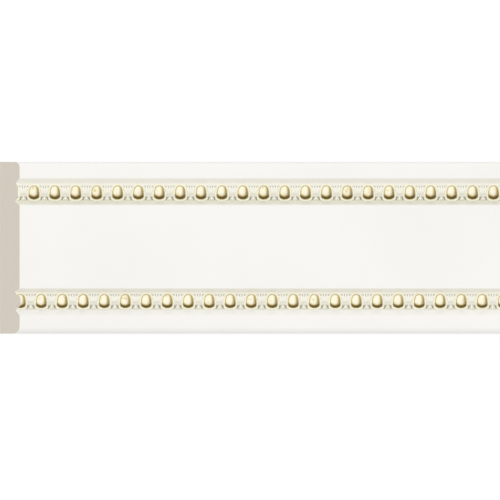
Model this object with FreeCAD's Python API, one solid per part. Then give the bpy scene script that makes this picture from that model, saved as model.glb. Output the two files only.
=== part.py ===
"""A length of panel moulding: a flat polymer strip with two bead-and-groove bands run along its face.

Millimetres, +Z up. The moulding lies on its back: X runs along the stock, Y across it, and the face
looks up. The origin is on the back, at the middle of the back's length and width.
"""

import FreeCAD
import Part
import math
import os

# The stock
LENGTH = 2000.0            # along the back, from the tip of the mitre to the square end
WIDTH = 100.0
THICKNESS = 11.5           # from the back to the flat of the face
UPPER_EDGE_RADIUS = 3.0    # the face's long edges: the upper one is on the +Y side
LOWER_EDGE_RADIUS = 4.0
MITRE_ANGLE = 45.0         # lean of the left end's cut away from square, in degrees

# The two bands, each a rounded bar between two grooves. Outer is the side by the moulding's long edge.
UPPER_INSET = 17.8         # from the upper long edge to the middle of its band
LOWER_INSET = 18.9
BAR_WIDTH = 11.0           # from one groove's bottom to the other's
BAR_RISE = 1.5             # crown of the bar above the line between the groove bottoms
OUTER_GROOVE_DEPTH = 2.2   # below the face
INNER_GROOVE_DEPTH = 2.7
OUTER_WALL_RUN = 2.8       # width that a groove's sloping wall takes up on the face
INNER_WALL_RUN = 1.9
LIP_RADIUS = 0.5           # where a groove's wall meets the face

# The egg-shaped beads: two balls inside one tapered skin, sunk into the crown of the bar
BIG_END_RADIUS = 4.0
SMALL_END_RADIUS = 3.5
END_SPACING = 1.9          # between the centres of the two balls
BEAD_HEIGHT = 1.55         # top of the big end above the crown
UPPER_PITCH = 12.165       # the rows are rolled on by separate wheels, so they aren't in step
LOWER_PITCH = 12.23
UPPER_START = 19.89        # from the mitre's tip to the middle of the row's first bead
LOWER_START = 11.92
BEADS_PER_RUN = 16         # the bars are built in runs, so that no face has hundreds of beads standing on it

LEFT = -LENGTH / 2
RIGHT = LENGTH / 2
OVERRUN = 2 * BIG_END_RADIUS   # how far the blank, and the saw, run past the stock


def vector(y, z, x=0.0):
    return FreeCAD.Vector(x, y, z)


def band_points(side):
    """Section points of the band by the long edge on the +Y (side 1) or -Y (side -1) half."""
    middle = WIDTH / 2 - (UPPER_INSET if side > 0 else LOWER_INSET)
    outer = middle + BAR_WIDTH / 2
    inner = middle - BAR_WIDTH / 2
    outer_bottom = vector(side * outer, THICKNESS - OUTER_GROOVE_DEPTH)
    inner_bottom = vector(side * inner, THICKNESS - INNER_GROOVE_DEPTH)
    chord = outer_bottom - inner_bottom
    outward = FreeCAD.Vector(0, -chord.z, chord.y) * side
    outward.normalize()
    return {
        "outer_lip": vector(side * (outer + OUTER_WALL_RUN), THICKNESS),
        "outer_bottom": outer_bottom,
        "crown": (outer_bottom + inner_bottom) * 0.5 + outward * BAR_RISE,
        "inner_bottom": inner_bottom,
        "inner_lip": vector(side * (inner - INNER_WALL_RUN), THICKNESS),
        "outward": outward,
    }


def section_wire():
    """The moulding's section, in the YZ plane, without its bars, and with its lips and long edges still sharp."""
    upper, lower = band_points(1), band_points(-1)
    half = WIDTH / 2

    def line(start, end):
        return Part.LineSegment(start, end).toShape()

    return Part.Wire([
        line(vector(-half, 0), vector(half, 0)),
        line(vector(half, 0), vector(half, THICKNESS)),
        line(vector(half, THICKNESS), upper["outer_lip"]),
        line(upper["outer_lip"], upper["outer_bottom"]),
        line(upper["outer_bottom"], upper["inner_bottom"]),
        line(upper["inner_bottom"], upper["inner_lip"]),
        line(upper["inner_lip"], lower["inner_lip"]),
        line(lower["inner_lip"], lower["inner_bottom"]),
        line(lower["inner_bottom"], lower["outer_bottom"]),
        line(lower["outer_bottom"], lower["outer_lip"]),
        line(lower["outer_lip"], vector(-half, THICKNESS)),
        line(vector(-half, THICKNESS), vector(-half, 0)),
    ])


def edges_through(solid, points):
    """The solid's straight edges along X whose line passes through one of the section points."""
    found = []
    for edge in solid.Edges:
        place = edge.CenterOfMass
        on_a_point = any(abs(place.y - p.y) + abs(place.z - p.z) < 1e-4 for p in points)
        if on_a_point and edge.Length > LENGTH / 2:
            found.append(edge)
    return found


def blank_strip():
    """The plain run of the section, longer than the stock at both ends."""
    face = Part.Face(section_wire())
    face.translate(FreeCAD.Vector(LEFT - OVERRUN, 0, 0))
    strip = face.extrude(FreeCAD.Vector(LENGTH + 2 * OVERRUN, 0, 0))
    for side, radius in ((1, UPPER_EDGE_RADIUS), (-1, LOWER_EDGE_RADIUS)):
        corner = vector(side * WIDTH / 2, THICKNESS)
        strip = strip.makeFillet(radius, edges_through(strip, [corner]))
    lips = [band_points(side)[lip] for side in (1, -1) for lip in ("outer_lip", "inner_lip")]
    return strip.makeFillet(LIP_RADIUS, edges_through(strip, lips))


def bar_runs(side, start, pitch):
    """The rounded bar of a band, from end to end of the blank, in runs that meet halfway between two beads."""
    points = band_points(side)
    face = Part.Face(Part.Wire([
        Part.Arc(points["outer_bottom"], points["crown"], points["inner_bottom"]).toShape(),
        Part.LineSegment(points["inner_bottom"], points["outer_bottom"]).toShape(),
    ]))
    run = BEADS_PER_RUN * pitch
    meetings = int((LENGTH - start) // run)
    stops = [LEFT + start - pitch / 2 + (n + 1) * run for n in range(meetings)]
    stops = [LEFT - OVERRUN] + stops + [RIGHT + OVERRUN]
    return [
        face.translated(FreeCAD.Vector(begin, 0, 0)).extrude(FreeCAD.Vector(end - begin, 0, 0))
        for begin, end in zip(stops, stops[1:])
    ]


def bead(side):
    """One egg-shaped bead of a band, at x 0, with its small end towards +Y."""
    points = band_points(side)
    outward = points["outward"]
    along = outward.cross(FreeCAD.Vector(1, 0, 0))
    sunk = BIG_END_RADIUS - BEAD_HEIGHT
    half_length = (BIG_END_RADIUS + END_SPACING + SMALL_END_RADIUS) / 2
    centre = points["crown"] - outward * sunk
    tail = centre - along * half_length
    tip = centre + along * half_length
    big = tail + along * BIG_END_RADIUS
    small = tip - along * SMALL_END_RADIUS
    lean = math.asin((BIG_END_RADIUS - SMALL_END_RADIUS) / END_SPACING)

    # The outline is drawn on the buried side, so that the seam of the turned skin is buried too
    def on_ball(ball, radius, angle):
        return ball + (along * math.sin(angle) - outward * math.cos(angle)) * radius

    big_edge = on_ball(big, BIG_END_RADIUS, lean)
    small_edge = on_ball(small, SMALL_END_RADIUS, lean)
    big_middle = on_ball(big, BIG_END_RADIUS, (lean - math.pi / 2) / 2)
    small_middle = on_ball(small, SMALL_END_RADIUS, (lean + math.pi / 2) / 2)
    outline = Part.Wire([
        Part.Arc(tail, big_middle, big_edge).toShape(),
        Part.LineSegment(big_edge, small_edge).toShape(),
        Part.Arc(small_edge, small_middle, tip).toShape(),
        Part.LineSegment(tip, tail).toShape(),
    ])
    return Part.Face(outline).revolve(centre, along, 360)


def bead_row(side, start, pitch):
    """Every bead of a band whose middle lies within the stock's length."""
    first = bead(side)
    count = int((LENGTH - start) // pitch) + 1
    return [first.translated(FreeCAD.Vector(LEFT + start + n * pitch, 0, 0)) for n in range(count)]


def sawn_envelope():
    """The room between the two end cuts: the left one leans back from the face, the right one is square."""
    top = THICKNESS + BIG_END_RADIUS
    half = WIDTH / 2 + OVERRUN
    lean = math.tan(math.radians(MITRE_ANGLE))
    outline = [(LEFT, 0), (RIGHT, 0), (RIGHT, top), (LEFT + top * lean, top), (LEFT, 0)]
    face = Part.Face(Part.makePolygon([vector(-half, z, x) for x, z in outline]))
    return face.extrude(FreeCAD.Vector(0, 2 * half, 0))


def panel_moulding():
    bands = []
    for row in ((1, UPPER_START, UPPER_PITCH), (-1, LOWER_START, LOWER_PITCH)):
        bands += bar_runs(*row) + bead_row(*row)
    return blank_strip().fuse(bands).common(sawn_envelope())


os.makedirs("parts", exist_ok=True)
moulding = panel_moulding()
print("solids", len(moulding.Solids), "faces", len(moulding.Faces), "valid", moulding.isValid())
print("volume in cm3", moulding.Volume / 1000.0)
moulding.Solids[0].exportStep("parts/panel_moulding.step")
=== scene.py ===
"""White panel moulding with two bands of gilt beads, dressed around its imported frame.

Metres, +Z up. The moulding lies on its back: X runs along it, Y across it, and the face looks up.
"""

import math

import bmesh
import bpy
from bpy.props import FloatProperty, FloatVectorProperty, PointerProperty
from mathutils import Matrix, Vector


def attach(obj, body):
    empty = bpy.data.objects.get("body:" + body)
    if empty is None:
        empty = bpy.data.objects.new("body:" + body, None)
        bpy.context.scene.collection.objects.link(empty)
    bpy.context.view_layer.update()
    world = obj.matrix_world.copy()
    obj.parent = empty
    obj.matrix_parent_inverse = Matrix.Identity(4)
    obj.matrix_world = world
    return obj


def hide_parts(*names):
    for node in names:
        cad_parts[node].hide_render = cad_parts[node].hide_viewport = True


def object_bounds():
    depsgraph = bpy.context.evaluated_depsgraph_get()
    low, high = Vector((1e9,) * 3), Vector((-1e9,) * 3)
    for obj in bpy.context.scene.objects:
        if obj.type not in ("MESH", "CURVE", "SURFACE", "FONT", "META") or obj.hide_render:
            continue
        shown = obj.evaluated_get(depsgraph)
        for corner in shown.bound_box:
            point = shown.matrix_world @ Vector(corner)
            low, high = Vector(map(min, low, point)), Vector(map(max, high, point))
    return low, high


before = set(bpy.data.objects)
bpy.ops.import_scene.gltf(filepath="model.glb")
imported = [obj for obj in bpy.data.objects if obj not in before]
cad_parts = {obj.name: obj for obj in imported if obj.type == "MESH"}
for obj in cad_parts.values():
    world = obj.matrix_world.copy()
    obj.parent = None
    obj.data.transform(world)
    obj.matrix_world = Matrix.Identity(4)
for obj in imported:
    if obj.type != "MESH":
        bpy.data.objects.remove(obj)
cad_low, cad_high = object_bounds()

bl_info = {
    "name": "Panel moulding",
    "version": (1, 0, 0),
    "blender": (4, 5, 0),
    "location": "View3D > Sidebar > Moulding",
    "description": "Models a length of white panel moulding with gilt bead bands",
    "category": "Object",
}

MM = 0.001

# Places in a piece's list of materials
CORE_SLOT = 1
RIM_SLOT = 2

# Fineness of the rounded forms
EDGE_STEPS = 8          # round each long edge of the face
LIP_STEPS = 3           # where a groove's wall meets the face
BOTTOM_STEPS = 2        # in a groove's bottom
BAR_STEPS = 14          # over a bar, from groove to groove
FOOT_SIDES = 16         # round a bead's foot
LEAF_SIDES = 6          # round a leaf
LEAF_RINGS = 5          # from a leaf's root to its tip

# How the ornament sits on the bars
SUNK = 0.2 * MM         # underside of the ornament below the bar's surface
SAW_SHY = 0.02 * MM     # rows of beads and leaves stop this far short of the strip's sawn ends

# The stage
FLOOR_REACH = 30.0      # from the floor's middle to its edges
FLOOR_DROP = 0.2 * MM   # below the moulding's back
FLOOR_TONE = 0.6
FLOOR_GLOW = 1.12       # brightness of the floor where it is seen
FLOOR_GLOW_SHARE = 0.8
CAMERA_HEIGHT = 1.5


def length_property(name, description, millimetres):
    return FloatProperty(
        name=name, description=description, default=millimetres * MM, min=0.0, precision=5,
        subtype="DISTANCE", unit="LENGTH",
    )


def colour_property(name, description, red, green, blue):
    return FloatVectorProperty(
        name=name, description=description, default=(red, green, blue), min=0.0, max=1.0, size=3,
        subtype="COLOR",
    )


def strength_property(name, description, strength):
    return FloatProperty(name=name, description=description, default=strength, min=0.0)


class StockSizes(bpy.types.PropertyGroup):
    """The plain strip"""

    length: length_property("Length", "Along the back", (cad_high.x - cad_low.x) / MM)
    width: length_property("Width", "Across the back", (cad_high.y - cad_low.y) / MM)
    thickness: length_property("Thickness", "From the back to the flat of the face", 11.5)
    upper_edge: length_property("Upper edge radius", "Rounding of the face's upper long edge", 3.0)
    lower_edge: length_property("Lower edge radius", "Rounding of the face's lower long edge", 4.0)
    mitre: FloatProperty(
        name="Mitre", description="Lean of the left end's cut away from square", default=math.radians(45.0),
        subtype="ANGLE", unit="ROTATION",
    )


class BandSizes(bpy.types.PropertyGroup):
    """A rounded bar between two grooves, by each long edge"""

    upper_inset: length_property("Upper inset", "From the upper long edge to the middle of its band", 17.8)
    lower_inset: length_property("Lower inset", "From the lower long edge to the middle of its band", 18.9)
    bar_width: length_property("Bar width", "From one groove's bottom to the other's", 11.0)
    bar_rise: length_property("Bar rise", "Crown of the bar above the line between the groove bottoms", 1.5)
    outer_depth: length_property("Outer groove depth", "Below the face, on the long edge's side", 2.2)
    inner_depth: length_property("Inner groove depth", "Below the face, on the field's side", 2.7)
    outer_run: length_property("Outer wall run", "Width of the outer groove's sloping wall", 2.8)
    inner_run: length_property("Inner wall run", "Width of the inner groove's sloping wall", 1.9)
    lip_radius: length_property("Lip radius", "Rounding where a groove's wall meets the face", 0.5)


class BeadSizes(bpy.types.PropertyGroup):
    """The egg-shaped beads on the bars"""

    width: length_property("Width", "Across the middle of the bead's foot", 6.3)
    long: length_property("Length", "From the foot's lower end to its upper end", 8.4)
    height: length_property("Height", "Top of the bead above the bar", 1.55)
    taper: strength_property("Taper", "Share by which the upper end is narrower than the middle", 0.2)
    upper_fullness: strength_property("Upper fullness", "2 for an oval end, more for fuller corners", 3.3)
    lower_fullness: strength_property("Lower fullness", "As the upper fullness, for the lower end", 2.3)
    upper_pitch: length_property("Upper pitch", "From bead to bead in the upper row", 12.165)
    lower_pitch: length_property("Lower pitch", "From bead to bead in the lower row", 12.23)
    upper_start: length_property("Upper start", "From the mitre's tip to the upper row's first bead", 19.89)
    lower_start: length_property("Lower start", "From the mitre's tip to the lower row's first bead", 11.92)


class LeafSizes(bpy.types.PropertyGroup):
    """The leaf ornament between the beads"""

    petal_width: length_property("Petal width", "Widest part of a petal", 1.65)
    height: length_property("Height", "Leaves above the bar", 0.55)
    collar_width: length_property("Collar width", "Pale rim round each bead", 0.75)
    collar_height: length_property("Collar height", "Rim above the bar", 0.25)


class Finishes(bpy.types.PropertyGroup):
    """Colours of the moulding's finishes"""

    film: colour_property("Film", "Satin film over the face", 0.92, 0.905, 0.868)
    cream: colour_property("Cream", "Warmer film in the bands", 0.915, 0.897, 0.795)
    ivory: colour_property("Ivory", "Pale rim round each bead and under the ornament", 0.99, 0.96, 0.77)
    # Partly patina in the ornament's hollows; also mixed in as painted shade on groove walls, the bars' lower
    # flanks and the gaps in the ornament
    patina_and_shade: colour_property("Patina", "Tint rubbed into the ornament's hollows", 0.30, 0.27, 0.15)
    gilt: colour_property("Gilt", "Pale gold foil on the tops of the beads", 0.90, 0.86, 0.67)
    # Painted shade on the beads' right flanks and feet
    gold: colour_property("Gold", "Deeper gold on the beads' flanks", 0.66, 0.52, 0.23)
    # Painted shade on the beads' downward-facing lower ends and on their feet
    bronze: colour_property("Bronze", "Brown tint on the beads' lower ends and feet", 0.25, 0.17, 0.038)
    core: colour_property("Core", "Bare foamed core on the back and the sawn ends", 0.66, 0.605, 0.522)


class Studio(bpy.types.PropertyGroup):
    """Camera and light"""

    view_width: length_property("View width", "Width of the stock that the camera takes in", 291.2)
    view_start: length_property("View start", "From the mitre's tip to the view's left edge", 0.1)
    view_drop: length_property("View drop", "How far the view's middle is below the moulding's", 1.3)
    daylight: strength_property("Daylight", "Soft light from all round", 0.94)
    shade: strength_property("Shade", "Share of the daylight that the lower side lacks", 0.21)
    bright: strength_property("Bright side", "The studio's lit side, as gold reflects it", 1.12)
    dark: strength_property("Dark side", "The studio's unlit side, as gold reflects it", 0.45)
    towards: FloatVectorProperty(
        name="Towards the light", description="Middle of the studio's lit side", default=(-0.35, 0.66, 0.66),
        subtype="DIRECTION",
    )


def band_section(side):
    """Section points of the band on the +Y (side 1) or -Y (side -1) half, and the frame on its crown."""
    stock, band = bpy.context.scene.moulding_stock, bpy.context.scene.moulding_band
    middle = stock.width / 2 - (band.upper_inset if side > 0 else band.lower_inset)
    outer = middle + band.bar_width / 2
    inner = middle - band.bar_width / 2
    face = stock.thickness
    outer_bottom = Vector((0, side * outer, face - band.outer_depth))
    inner_bottom = Vector((0, side * inner, face - band.inner_depth))
    chord = outer_bottom - inner_bottom
    outward = Vector((0, -chord.z, chord.y)).normalized() * side
    crown = (outer_bottom + inner_bottom) / 2 + outward * band.bar_rise
    radius = (chord.length ** 2 / 4 + band.bar_rise ** 2) / (2 * band.bar_rise)
    turn = Vector((0, 0, 1)).rotation_difference(outward).to_matrix().to_4x4()
    return {
        "outer_lip": Vector((0, side * (outer + band.outer_run), face)),
        "outer_bottom": outer_bottom,
        "crown": crown,
        "inner_bottom": inner_bottom,
        "inner_lip": Vector((0, side * (inner - band.inner_run), face)),
        "bar_centre": crown - outward * radius,
        "bar_radius": radius,
        "bar_angle": 2 * math.asin(chord.length / 2 / radius),
        "place": Matrix.Translation(crown) @ turn,
    }


def cut_off(bm, point, outward):
    """Cuts away what lies outside a plane, and returns the faces that close the cut."""
    geometry = bm.verts[:] + bm.edges[:] + bm.faces[:]
    cut = bmesh.ops.bisect_plane(
        bm, geom=geometry, dist=1e-8, plane_co=point, plane_no=outward, clear_outer=True,
    )
    edges = [item for item in cut["geom_cut"] if isinstance(item, bmesh.types.BMEdge)]
    return bmesh.ops.holes_fill(bm, edges=edges, sides=0)["faces"] if edges else []


def saw_ends(bm, shy=0.0):
    """Saws a mesh off at the mitre and at the square end, or a little shy of them, down to the bare core."""
    stock = bpy.context.scene.moulding_stock
    half = stock.length / 2
    left = Vector((-math.cos(stock.mitre), 0, math.sin(stock.mitre)))
    right = Vector((1, 0, 0))
    for point, outward in ((Vector((-half, 0, 0)), left), (Vector((half, 0, 0)), right)):
        for face in cut_off(bm, point - outward * shy, outward):
            face.material_index = CORE_SLOT
            face.smooth = False


def add_piece(name, bm, materials, sharp):
    """Turns a finished bmesh into a piece that rides on the body. Edges past the sharp angle stay crisp."""
    mesh = bpy.data.meshes.new(name)
    bm.to_mesh(mesh)
    bm.free()
    mesh.set_sharp_from_angle(angle=math.radians(sharp))
    for material in materials:
        mesh.materials.append(material)
    piece = bpy.data.objects.new(name, mesh)
    bpy.context.scene.collection.objects.link(piece)
    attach(piece, "root")
    return piece


class Recipe:
    """A Principled material that is being mixed, on Object coordinates."""

    def __init__(self, name, roughness, specular=0.5, metallic=0.0):
        self.material = bpy.data.materials.new(name)
        self.material.use_nodes = True
        self.nodes = self.material.node_tree.nodes
        self.links = self.material.node_tree.links
        self.shader = self.nodes["Principled BSDF"]
        self.shader.inputs["Roughness"].default_value = roughness
        self.shader.inputs["Specular IOR Level"].default_value = specular
        self.shader.inputs["Metallic"].default_value = metallic
        where = self.nodes.new("ShaderNodeTexCoord")
        self.place = where.outputs["Object"]
        self.normal = where.outputs["Normal"]

    def feed(self, socket, value):
        """Sets a socket to a number or a colour, or links it to an output."""
        if isinstance(value, bpy.types.NodeSocket):
            self.links.new(value, socket)
        elif hasattr(value, "__len__") and socket.type == "RGBA":
            socket.default_value = (*value, 1.0)
        else:
            socket.default_value = value

    def finish(self, name, value):
        """Sets or links one of the shader's own inputs."""
        self.feed(self.shader.inputs[name], value)

    def noise(self, size, detail=2.0, roughness=0.5):
        """A noise whose blots are about the given size, in metres."""
        node = self.nodes.new("ShaderNodeTexNoise")
        node.inputs["Scale"].default_value = 1.0 / size
        node.inputs["Detail"].default_value = detail
        node.inputs["Roughness"].default_value = roughness
        self.feed(node.inputs["Vector"], self.place)
        return node.outputs["Fac"]

    def ramp(self, value, start, end, low=0.0, high=1.0, smooth=False):
        """Maps a value from the range between start and end to the range between low and high."""
        node = self.nodes.new("ShaderNodeMapRange")
        node.interpolation_type = "SMOOTHSTEP" if smooth else "LINEAR"
        node.inputs["From Min"].default_value = start
        node.inputs["From Max"].default_value = end
        node.inputs["To Min"].default_value = low
        node.inputs["To Max"].default_value = high
        self.feed(node.inputs["Value"], value)
        return node.outputs["Result"]

    def spread(self, noise, low, high):
        """Spreads the middle of a noise over the range from low to high."""
        return self.ramp(noise, 0.3, 0.7, low, high)

    def sums(self, operation, first, second=0.0):
        """A sum of one or two numbers."""
        node = self.nodes.new("ShaderNodeMath")
        node.operation = operation
        self.feed(node.inputs[0], first)
        self.feed(node.inputs[1], second)
        return node.outputs["Value"]

    def vector(self, operation, first, second=(0, 0, 0), output="Vector"):
        """A sum of one or two vectors."""
        node = self.nodes.new("ShaderNodeVectorMath")
        node.operation = operation
        self.feed(node.inputs[0], first)
        self.feed(node.inputs[1], second)
        return node.outputs[output]

    def mix(self, amount, first, second, blend="MIX"):
        """The first colour with an amount of the second."""
        node = self.nodes.new("ShaderNodeMix")
        node.data_type = "RGBA"
        node.blend_type = blend
        self.feed(node.inputs["Factor"], amount)
        self.feed(node.inputs["A"], first)
        self.feed(node.inputs["B"], second)
        return node.outputs["Result"]

    def component(self, vector, direction):
        """How far a vector goes in a direction."""
        return self.vector("DOT_PRODUCT", vector, direction, "Value")

    def across(self, stops, width):
        """Colours by the place across the moulding, from a list of (y, colour)."""
        across = self.component(self.place, (0, 1, 0))
        node = self.nodes.new("ShaderNodeValToRGB")
        marks = node.color_ramp.elements
        marks.remove(marks[0])
        for y, colour in sorted(stops, key=lambda stop: stop[0]):
            mark = marks.new(y / width + 0.5)
            mark.color = (*colour, 1.0)
        marks.remove(marks[len(marks) - 1])
        self.feed(node.inputs["Fac"], self.ramp(across, -width / 2, width / 2))
        return node.outputs["Color"]

    def over_bar(self, section):
        """How far a point stands out from the round of a bar, in metres."""
        from_axis = self.vector("SUBTRACT", self.place, section["bar_centre"])
        square_on = self.vector("MULTIPLY", from_axis, (0, 1, 1))
        return self.sums("SUBTRACT", self.vector("LENGTH", square_on, output="Value"), section["bar_radius"])

    def from_crown(self, section):
        """How far a point lies from a bar's crown line on either side, in metres."""
        past = self.sums("SUBTRACT", self.component(self.place, (0, 1, 0)), section["crown"].y)
        return self.sums("ABSOLUTE", past)

    def bump(self, height, depth, strength):
        """Roughens the surface by a height, with its depth in metres."""
        node = self.nodes.new("ShaderNodeBump")
        node.inputs["Strength"].default_value = strength
        node.inputs["Distance"].default_value = depth
        self.feed(node.inputs["Height"], height)
        self.finish("Normal", node.outputs["Normal"])


def blend(first, second, share):
    """The first colour with a share of the second."""
    return tuple(a + (b - a) * share for a, b in zip(first, second))


def film_material(colours, width, sections):
    """Satin film with a faint orange peel, cream in the grooves, with painted shade on some groove walls and
    on the bars' lower flanks, and patina with painted shade in the gaps under the ornament.
    """
    film, cream = tuple(colours.film), tuple(colours.cream)
    ivory, patina_and_shade = tuple(colours.ivory), tuple(colours.patina_and_shade)
    # Blends of the cream towards the patina colour: partly patina, partly painted shade in the ornament's
    # gaps, and painted shade on walls and flanks
    wiped = blend(cream, patina_and_shade, 0.06)
    faint = blend(cream, patina_and_shade, 0.09)
    down_flank_shade = blend(cream, patina_and_shade, 0.15)
    lined = blend(cream, patina_and_shade, 0.35)
    top_gap_patina_and_shade = blend(cream, patina_and_shade, 0.85)
    rubbed = blend(cream, patina_and_shade, 0.9)
    upper_wall_warmth_and_shade = blend(blend(film, cream, 0.6), patina_and_shade, 0.1)
    # Places are in millimetres from the crown, towards +Y
    # Painted shade on the upper band's lower wall; the lower band's lower wall stays plain film
    lower_wall_shades = ((-6.7, faint), (-5.5, film))
    # Under the ornament: painted shade on the bar's lower flank, a pale line, then patina with painted shade
    # in the gaps below the hooks, between the tie and the drop, and between the petal tips
    under_ornament = (
        (-5.0, down_flank_shade), (-4.6, ivory), (-4.3, rubbed), (-3.0, rubbed), (-1.6, wiped), (-0.85, lined),
        (-0.5, wiped), (1.8, wiped), (3.1, top_gap_patina_and_shade), (3.65, top_gap_patina_and_shade), (3.95, cream),
    )
    stops = []
    for section, lower_wall_shade in zip(sections, lower_wall_shades):
        crown = section["crown"].y
        low_lip, high_lip = sorted((section["outer_lip"].y, section["inner_lip"].y))
        stops += [(crown + place * MM, tone) for place, tone in (lower_wall_shade, *under_ornament)]
        # Painted shade, with a warmer tint, on the wall under each band's higher lip
        stops += [(low_lip, film), (high_lip - 0.7 * MM, upper_wall_warmth_and_shade), (high_lip, film)]
    recipe = Recipe("satin film", 0.45, specular=0.35)
    tone = recipe.spread(recipe.noise(60 * MM, 3.0), 0.975, 1.0)
    recipe.finish("Base Color", recipe.mix(1.0, recipe.across(stops, width), tone, "MULTIPLY"))
    recipe.finish("Roughness", recipe.spread(recipe.noise(12 * MM), 0.40, 0.50))
    recipe.bump(recipe.noise(1.1 * MM), 0.02 * MM, 0.5)
    return recipe.material


def leaf_material(name, colours, section):
    """Cream film on the ornament, darker in its low parts and more so towards the bar's two sides: partly
    patina, partly painted shade in the hollows.
    """
    recipe = Recipe(name, 0.5, specular=0.35)
    height = recipe.over_bar(section)
    # Patina and painted shade: darker where the ornament lies low on the bar
    low = recipe.ramp(height, 0.05 * MM, 0.38 * MM, 1.0, 0.0, smooth=True)
    by_sides = recipe.ramp(recipe.from_crown(section), 1.2 * MM, 2.6 * MM, 0.05, 0.25, smooth=True)
    tint = recipe.sums("MULTIPLY", low, by_sides)
    recipe.finish("Base Color", recipe.mix(tint, tuple(colours.cream), tuple(colours.patina_and_shade)))
    recipe.finish("Roughness", recipe.spread(recipe.noise(2 * MM), 0.42, 0.58))
    recipe.bump(recipe.noise(0.5 * MM), 0.02 * MM, 0.5)
    return recipe.material


def rim_material(colours):
    """The film's palest tone, wiped clean round the beads."""
    recipe = Recipe("ivory film", 0.5, specular=0.35)
    tone = recipe.spread(recipe.noise(3 * MM), 0.97, 1.0)
    recipe.finish("Base Color", recipe.mix(1.0, tuple(colours.ivory), tone, "MULTIPLY"))
    recipe.bump(recipe.noise(0.5 * MM), 0.02 * MM, 0.5)
    return recipe.material


def gilt_material(name, colours, section):
    """Bright, slightly crinkled foil with painted shade: deeper at each bead's foot and right flank, bronze
    at its downward-facing low end; the foot's tint is partly patina.
    """
    recipe = Recipe(name, 0.25, metallic=1.0)
    uneven = recipe.spread(recipe.noise(2 * MM, 3.0), -0.15 * MM, 0.15 * MM)
    height = recipe.sums("ADD", recipe.over_bar(section), uneven)
    right = recipe.component(recipe.normal, (1, 0, 0))
    upper_right = recipe.component(recipe.normal, (0.7, 0.7, 0))
    down = recipe.component(recipe.normal, (0, -1, 0))
    # Painted shade, partly patina: darker low on each bead, more so on its upper-right side
    foot = recipe.ramp(height, 0.20 * MM, 1.20 * MM, 1.0, 0.0, smooth=True)
    foot = recipe.sums("MULTIPLY", foot, recipe.ramp(upper_right, -0.4, 0.4, 0.50, 0.80))
    # Painted shade: deeper gold where the bead faces right, away from the light
    flank = recipe.ramp(right, 0.10, 0.50, 0.0, 0.55)
    # Painted shade: bronze where the bead faces down, and a little where it faces either side
    sideways = recipe.sums("MULTIPLY", recipe.sums("ABSOLUTE", right), 0.3)
    low_end_shade = recipe.ramp(recipe.sums("ADD", down, sideways), 0.12, 0.54, smooth=True)
    rubs = recipe.ramp(recipe.noise(3.2 * MM, 4.0, 0.6), 0.58, 0.76, 0.0, 0.5)
    tint = foot
    for more in (flank, low_end_shade, rubs):
        tint = recipe.sums("MAXIMUM", tint, more)
    tone = recipe.mix(recipe.ramp(tint, 0.0, 0.5), tuple(colours.gilt), tuple(colours.gold))
    tone = recipe.mix(recipe.ramp(tint, 0.5, 1.0), tone, tuple(colours.bronze))
    recipe.finish("Base Color", tone)
    recipe.finish("Roughness", recipe.spread(recipe.noise(1 * MM), 0.20, 0.32))
    recipe.bump(recipe.noise(1.6 * MM, 3.0), 0.04 * MM, 0.5)
    return recipe.material


def core_material(colours):
    """Sawn foamed polymer with fine closed cells."""
    recipe = Recipe("bare core", 0.85, specular=0.2)
    cells = recipe.nodes.new("ShaderNodeTexVoronoi")
    cells.inputs["Scale"].default_value = 1.0 / (0.5 * MM)
    recipe.feed(cells.inputs["Vector"], recipe.place)
    tone = recipe.spread(cells.outputs["Distance"], 1.02, 0.97)
    recipe.finish("Base Color", recipe.mix(1.0, tuple(colours.core), tone, "MULTIPLY"))
    recipe.bump(cells.outputs["Distance"], 0.03 * MM, 0.4)
    return recipe.material


def bevel_along(bm, points, offset, segments):
    """Rounds the edges that run along X through any of the section points."""
    edges = []
    for edge in bm.edges:
        first, last = (vert.co for vert in edge.verts)
        runs_along = abs(first.x - last.x) > 0.1
        if runs_along and any((first - point).yz.length < 1e-6 for point in points):
            edges.append(edge)
    bmesh.ops.bevel(
        bm, geom=edges, offset=offset, offset_type="OFFSET", affect="EDGES", segments=segments, profile=0.5,
        material=-1,
    )


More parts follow.
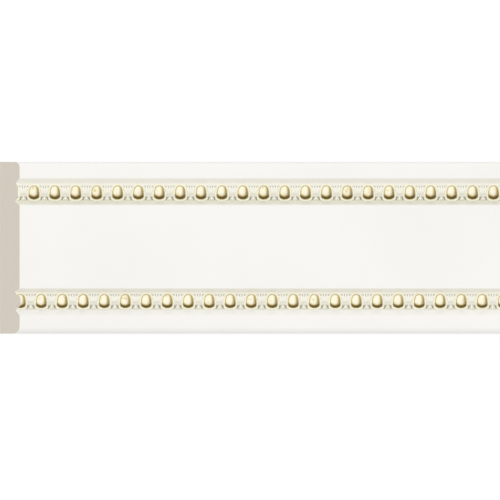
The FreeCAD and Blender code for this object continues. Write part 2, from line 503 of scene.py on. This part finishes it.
class MOULDING_OT_strip(bpy.types.Operator):
    """Sweep the section into the strip, round its edges and saw its ends"""

    bl_idname = "moulding.strip"
    bl_label = "Strip"

    def execute(self, context):
        stock, band = context.scene.moulding_stock, context.scene.moulding_band
        colours = context.scene.moulding_finishes
        overrun = 2 * stock.thickness
        start = -stock.length / 2 - overrun
        half = stock.width / 2
        upper, lower = band_section(1), band_section(-1)
        upper_edge = Vector((0, half, stock.thickness))
        lower_edge = Vector((0, -half, stock.thickness))
        bm = bmesh.new()
        loop = []

        def corner(point):
            loop.append(bm.verts.new((start, point.y, point.z)))

        def bar(section, first):
            corner(section[first])
            made = len(bm.verts)
            centre = section["bar_centre"] + Vector((start, 0, 0))
            bmesh.ops.spin(
                bm, geom=[loop[-1]], cent=centre, axis=(1, 0, 0), angle=section["bar_angle"], steps=BAR_STEPS,
            )
            bm.verts.ensure_lookup_table()
            loop.extend(bm.verts[made:])

        corner(Vector((0, half, 0)))
        corner(upper_edge)
        corner(upper["outer_lip"])
        bar(upper, "outer_bottom")
        corner(upper["inner_lip"])
        corner(lower["inner_lip"])
        bar(lower, "inner_bottom")
        corner(lower["outer_lip"])
        corner(lower_edge)
        corner(Vector((0, -half, 0)))
        swept = bmesh.ops.extrude_face_region(bm, geom=[bm.faces.new(loop)])
        far = [item for item in swept["geom"] if isinstance(item, bmesh.types.BMVert)]
        bmesh.ops.translate(bm, verts=far, vec=(stock.length + 2 * overrun, 0, 0))
        bmesh.ops.recalc_face_normals(bm, faces=bm.faces[:])
        for face in bm.faces:
            face.smooth = True
            looks_down = face.normal.z < -0.5
            if looks_down:
                face.material_index = CORE_SLOT
        bevel_along(bm, [upper_edge], stock.upper_edge, EDGE_STEPS)
        bevel_along(bm, [lower_edge], stock.lower_edge, EDGE_STEPS)
        lips = [section[lip] for section in (upper, lower) for lip in ("outer_lip", "inner_lip")]
        bevel_along(bm, lips, band.lip_radius * 0.6, LIP_STEPS)
        bottoms = [section[end] for section in (upper, lower) for end in ("outer_bottom", "inner_bottom")]
        bevel_along(bm, bottoms, band.lip_radius * 0.5, BOTTOM_STEPS)
        saw_ends(bm)
        finishes = [film_material(colours, stock.width, (upper, lower)), core_material(colours)]
        piece = add_piece("strip", bm, finishes, sharp=35.0)
        even = piece.modifiers.new("Even shading", "WEIGHTED_NORMAL")
        even.keep_sharp = True
        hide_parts("panel_moulding")
        return {"FINISHED"}


def lay_in_row(unit, start, pitch, count):
    """A bmesh of copies of the unit along the stock, the first at start from the mitre's tip."""
    left = -bpy.context.scene.moulding_stock.length / 2
    pattern = bpy.data.meshes.new("pattern")
    unit.to_mesh(pattern)
    unit.free()
    pattern.transform(Matrix.Translation((left + start, 0, 0)))
    row = bmesh.new()
    for _ in range(count):
        row.from_mesh(pattern)
        pattern.transform(Matrix.Translation((pitch, 0, 0)))
    bpy.data.meshes.remove(pattern)
    return row


def drape(bm, radius):
    """Bends what lies flat on the crown down over the round of the bar."""
    for vert in bm.verts:
        angle = vert.co.y / radius
        out = radius + vert.co.z
        vert.co.y = out * math.sin(angle)
        vert.co.z = out * math.cos(angle) - radius


def lay_on_bar(unit, section, start, pitch, count):
    """Drapes a unit over a bar, lays it in a row along the stock and saws the row's ends off."""
    for face in unit.faces:
        face.smooth = True
    drape(unit, section["bar_radius"])
    bmesh.ops.transform(unit, matrix=section["place"], verts=unit.verts[:])
    row = lay_in_row(unit, start, pitch, count)
    saw_ends(row, shy=SAW_SHY)
    return row


def bead_rows():
    """Each row's name, side, start and pitch, and how many beads have their middle on the stock."""
    stock, beads = bpy.context.scene.moulding_stock, bpy.context.scene.moulding_beads
    rows = (
        ("upper", 1, beads.upper_start, beads.upper_pitch),
        ("lower", -1, beads.lower_start, beads.lower_pitch),
    )
    return [(*row, int((stock.length - row[2]) // row[3]) + 1) for row in rows]


def mound(bm, sizes, steps, squarer=0.0):
    """A closed mound on a bead's foot. Each step is a margin outside the foot's outline and a height."""
    half_width, half_length = sizes.width / 2, sizes.long / 2
    made = bmesh.ops.create_circle(bm, cap_ends=True, segments=FOOT_SIDES, radius=1.0)["verts"]
    verts, top = list(made), made[0].link_faces[0]
    across, along, level = 1.0, 1.0, 0.0
    for step, (margin, height) in enumerate(steps):
        if step:
            grown = bmesh.ops.extrude_face_region(bm, geom=[top])["geom"]
            made = [item for item in grown if isinstance(item, bmesh.types.BMVert)]
            verts += made
            # The first face stays as the underside, and later ones would be left inside
            if step > 1:
                bmesh.ops.delete(bm, geom=[top], context="FACES_ONLY")
            top = next(item for item in grown if isinstance(item, bmesh.types.BMFace))
        stretch = ((half_width + margin) / across, (half_length + margin) / along, 1.0)
        bmesh.ops.scale(bm, verts=made, vec=stretch)
        bmesh.ops.translate(bm, verts=made, vec=(0, 0, height - level))
        across, along, level = half_width + margin, half_length + margin, height
    for vert in verts:
        x, y = abs(vert.co.x) / half_width, abs(vert.co.y) / half_length
        power = squarer + (sizes.upper_fullness if vert.co.y > 0 else sizes.lower_fullness)
        fuller = math.hypot(x, y) / (x ** power + y ** power) ** (1 / power)
        vert.co.y *= fuller
        vert.co.x *= fuller * (1.0 - sizes.taper * vert.co.y / half_length)
    bmesh.ops.poke(bm, faces=[face for face in bm.faces if len(face.verts) > 4])


def bead_shape(sizes):
    """One bead on the crown, its narrow end towards +Y."""
    bm = bmesh.new()
    # Margins in millimetres, and heights as shares of the bead's
    profile = (
        (0.0, -0.2), (-0.1, 0.15), (-0.4, 0.42), (-0.85, 0.68), (-1.4, 0.86), (-2.1, 0.97), (-2.7, 1.0),
    )
    mound(bm, sizes, [(margin * MM, share * sizes.height) for margin, share in profile])
    bmesh.ops.recalc_face_normals(bm, faces=bm.faces[:])
    return bm


class MOULDING_OT_beads(bpy.types.Operator):
    """Shape one gilt bead and lay a row of it on each bar"""

    bl_idname = "moulding.beads"
    bl_label = "Bead rows"

    def execute(self, context):
        colours = context.scene.moulding_finishes
        core = bpy.data.materials["bare core"]
        for name, side, start, pitch, count in bead_rows():
            section = band_section(side)
            unit = bead_shape(context.scene.moulding_beads)
            row = lay_on_bar(unit, section, start, pitch, count)
            gilt = gilt_material(f"gold foil on the {name} beads", colours, section)
            add_piece(f"{name}_beads", row, [gilt, core], sharp=60.0)
        return {"FINISHED"}


def leaf(bm, root, tip, width, height, root_share=0.45):
    """A drop-shaped leaf on the crown, fullest near its tip. Root and tip are (x, y) in millimetres."""
    root, tip = Vector((*root, 0)) * MM, Vector((*tip, 0)) * MM
    along = tip - root
    made = bmesh.ops.create_uvsphere(bm, u_segments=LEAF_SIDES, v_segments=LEAF_RINGS, radius=1.0)["verts"]
    bmesh.ops.rotate(bm, verts=made, cent=(0, 0, 0), matrix=Matrix.Rotation(math.pi / 2, 3, "X"))
    for vert in made:
        towards_tip = (1 + vert.co.y) / 2
        vert.co.x *= root_share + (1 - root_share) * towards_tip
    bmesh.ops.scale(bm, verts=made, vec=(width / 2, along.length / 2, height))
    turn = Matrix.Rotation(math.atan2(-along.x, along.y), 3, "Z")
    bmesh.ops.rotate(bm, verts=made, cent=(0, 0, 0), matrix=turn)
    bmesh.ops.translate(bm, verts=made, vec=(root + tip) / 2)


def palmette(bm, sizes):
    """Five petals over a tie, and under it a drop that spreads between two side leaves."""
    wide, tall = sizes.petal_width, sizes.height
    low = tall * 0.75
    for tip in ((0, 4.6), (1.8, 4.4), (-1.8, 4.4), (3.3, 3.9), (-3.3, 3.9)):
        root = (tip[0] * 0.14, -0.3)
        leaf(bm, root, tip, wide, tall)
    leaf(bm, (-1.5, 0.0), (1.5, 0.0), 0.8 * MM, tall * 1.1, root_share=1.0)
    leaf(bm, (0, -1.4), (0, -5.0), wide * 1.1, tall)
    for way in (1, -1):
        leaf(bm, (way * 0.5, -0.4), (way * 2.5, 1.3), 1.1 * MM, low)
        leaf(bm, (way * 0.3, -2.4), (way * 1.5, -4.9), 1.1 * MM, low)
        leaf(bm, (way * 1.9, -0.4), (way * 2.6, -3.2), 1.2 * MM, low)


def seat(bm, beads, sizes):
    """The pale rim that a bead sits in: a low shield that dips under the bead, at the bead's own place."""
    rim, rise = sizes.collar_width, sizes.collar_height
    steps = ((rim, -SUNK), (rim * 0.85, rise * 0.75), (rim * 0.4, rise), (-0.5 * MM, -0.1 * MM))
    mound(bm, beads, steps, squarer=1.5)


class MOULDING_OT_leaves(bpy.types.Operator):
    """Model one leaf ornament and lay it between the beads of each row"""

    bl_idname = "moulding.leaves"
    bl_label = "Leaf rows"

    def execute(self, context):
        beads, sizes = context.scene.moulding_beads, context.scene.moulding_leaves
        colours = context.scene.moulding_finishes
        core = bpy.data.materials["bare core"]
        ivory = rim_material(colours)
        for name, side, start, pitch, count in bead_rows():
            section = band_section(side)
            unit = bmesh.new()
            palmette(unit, sizes)
            bmesh.ops.translate(unit, verts=unit.verts[:], vec=(pitch / 2, 0, 0))
            cut_off(unit, (0, 0, -SUNK), (0, 0, -1))
            leaves = set(unit.faces)
            seat(unit, beads, sizes)
            bmesh.ops.recalc_face_normals(unit, faces=unit.faces[:])
            for face in unit.faces:
                if face not in leaves:
                    face.material_index = RIM_SLOT
            # One more unit past each end, because an ornament reaches halfway to the next bead
            row = lay_on_bar(unit, section, start - pitch, pitch, count + 2)
            cream = leaf_material(f"cream film on the {name} leaves", colours, section)
            add_piece(f"{name}_leaves", row, [cream, core, ivory], sharp=50.0)
        return {"FINISHED"}


class MOULDING_OT_stage(bpy.types.Operator):
    """Set up the floor, the soft light and the camera"""

    bl_idname = "moulding.stage"
    bl_label = "Stage"

    def execute(self, context):
        scene, studio, stock = context.scene, context.scene.moulding_studio, context.scene.moulding_stock
        self.floor(scene)
        self.light(scene, studio)
        self.camera(scene, studio, stock)
        scene.view_settings.view_transform = "Standard"
        return {"FINISHED"}

    def seen(self, nodes, links):
        """1 for the rays that see the surroundings: the camera's, and those off metal or through glass."""
        path = nodes.new("ShaderNodeLightPath")
        seen = path.outputs["Is Camera Ray"]
        for ray in ("Is Glossy Ray", "Is Transmission Ray"):
            either = nodes.new("ShaderNodeMath")
            either.operation = "MAXIMUM"
            links.new(seen, either.inputs[0])
            links.new(path.outputs[ray], either.inputs[1])
            seen = either.outputs["Value"]
        return seen

    def map_range(self, nodes, links, value, source, target, smooth=False):
        """Maps a value from the source range to the target range, whose ends may be outputs."""
        node = nodes.new("ShaderNodeMapRange")
        node.interpolation_type = "SMOOTHSTEP" if smooth else "LINEAR"
        node.inputs["From Min"].default_value, node.inputs["From Max"].default_value = source
        links.new(value, node.inputs["Value"])
        for socket, end in zip((node.inputs["To Min"], node.inputs["To Max"]), target):
            if isinstance(end, bpy.types.NodeSocket):
                links.new(end, socket)
            else:
                socket.default_value = end
        return node.outputs["Result"]

    def floor(self, scene):
        """A grey floor under the moulding that looks nearly white where it is seen."""
        bm = bmesh.new()
        bmesh.ops.create_grid(bm, x_segments=1, y_segments=1, size=FLOOR_REACH)
        bmesh.ops.translate(bm, verts=bm.verts[:], vec=(0, 0, -FLOOR_DROP))
        mesh = bpy.data.meshes.new("floor")
        bm.to_mesh(mesh)
        bm.free()
        floor = bpy.data.objects.new("floor", mesh)
        scene.collection.objects.link(floor)
        material = bpy.data.materials.new("pale floor")
        material.use_nodes = True
        nodes, links = material.node_tree.nodes, material.node_tree.links
        shader = nodes["Principled BSDF"]
        shader.inputs["Base Color"].default_value = (FLOOR_TONE, FLOOR_TONE, FLOOR_TONE, 1.0)
        shader.inputs["Roughness"].default_value = 0.9
        glow = nodes.new("ShaderNodeEmission")
        glow.inputs["Strength"].default_value = FLOOR_GLOW
        seen = self.seen(nodes, links)
        share = self.map_range(nodes, links, seen, (0.0, 1.0), (0.0, FLOOR_GLOW_SHARE))
        mix = nodes.new("ShaderNodeMixShader")
        links.new(share, mix.inputs["Fac"])
        links.new(shader.outputs["BSDF"], mix.inputs[1])
        links.new(glow.outputs["Emission"], mix.inputs[2])
        links.new(mix.outputs["Shader"], nodes["Material Output"].inputs["Surface"])
        mesh.materials.append(material)

    def light(self, scene, studio):
        """Daylight a little stronger from the lit side, which gold sees as a pale wall over a dark one."""
        world = scene.world or bpy.data.worlds.new("daylight")
        scene.world = world
        world.use_nodes = True
        nodes, links = world.node_tree.nodes, world.node_tree.links
        nodes.clear()
        where = nodes.new("ShaderNodeTexCoord")
        towards = nodes.new("ShaderNodeVectorMath")
        towards.operation = "DOT_PRODUCT"
        towards.inputs[1].default_value = studio.towards
        links.new(where.outputs["Generated"], towards.inputs[0])
        lean = towards.outputs["Value"]
        weak, strong = studio.daylight * (1 - studio.shade), studio.daylight * (1 + studio.shade)
        soft = self.map_range(nodes, links, lean, (-1.0, 1.0), (weak, strong))
        mirrored = self.map_range(nodes, links, lean, (-0.2, 0.7), (studio.dark, studio.bright), smooth=True)
        strength = self.map_range(nodes, links, self.seen(nodes, links), (0.0, 1.0), (soft, mirrored))
        background = nodes.new("ShaderNodeBackground")
        background.inputs["Color"].default_value = (1.0, 1.0, 1.0, 1.0)
        links.new(strength, background.inputs["Strength"])
        output = nodes.new("ShaderNodeOutputWorld")
        links.new(background.outputs["Background"], output.inputs["Surface"])

    def camera(self, scene, studio, stock):
        """Looks straight down on the mitred end's stretch of the moulding."""
        lens = bpy.data.cameras.new("camera")
        lens.type = "ORTHO"
        lens.ortho_scale = studio.view_width
        camera = bpy.data.objects.new("camera", lens)
        left = -stock.length / 2 + studio.view_start
        camera.location = (left + studio.view_width / 2, -studio.view_drop, CAMERA_HEIGHT)
        scene.collection.objects.link(camera)
        scene.camera = camera


class MOULDING_PT_sidebar(bpy.types.Panel):
    """Sizes and finishes of the moulding"""

    bl_idname = "MOULDING_PT_sidebar"
    bl_label = "Panel moulding"
    bl_space_type = "VIEW_3D"
    bl_region_type = "UI"
    bl_category = "Moulding"

    def draw(self, context):
        groups = (
            ("moulding_stock", "moulding.strip"),
            ("moulding_band", None),
            ("moulding_beads", "moulding.beads"),
            ("moulding_leaves", "moulding.leaves"),
            ("moulding_finishes", None),
            ("moulding_studio", "moulding.stage"),
        )
        for group, operator in groups:
            box = self.layout.box()
            values = getattr(context.scene, group)
            for name in values.__annotations__:
                box.prop(values, name)
            if operator:
                box.operator(operator)


GROUPS = (
    ("moulding_stock", StockSizes),
    ("moulding_band", BandSizes),
    ("moulding_beads", BeadSizes),
    ("moulding_leaves", LeafSizes),
    ("moulding_finishes", Finishes),
    ("moulding_studio", Studio),
)

TOOLS = (MOULDING_OT_strip, MOULDING_OT_beads, MOULDING_OT_leaves, MOULDING_OT_stage, MOULDING_PT_sidebar)


def register():
    for name, group in GROUPS:
        bpy.utils.register_class(group)
        setattr(bpy.types.Scene, name, PointerProperty(type=group))
    for tool in TOOLS:
        bpy.utils.register_class(tool)


def unregister():
    for tool in reversed(TOOLS):
        bpy.utils.unregister_class(tool)
    for name, group in reversed(GROUPS):
        delattr(bpy.types.Scene, name)
        bpy.utils.unregister_class(group)


def main():
    register()
    bpy.ops.moulding.strip()
    bpy.ops.moulding.beads()
    bpy.ops.moulding.leaves()
    bpy.ops.moulding.stage()


if __name__ == "__main__":
    main()
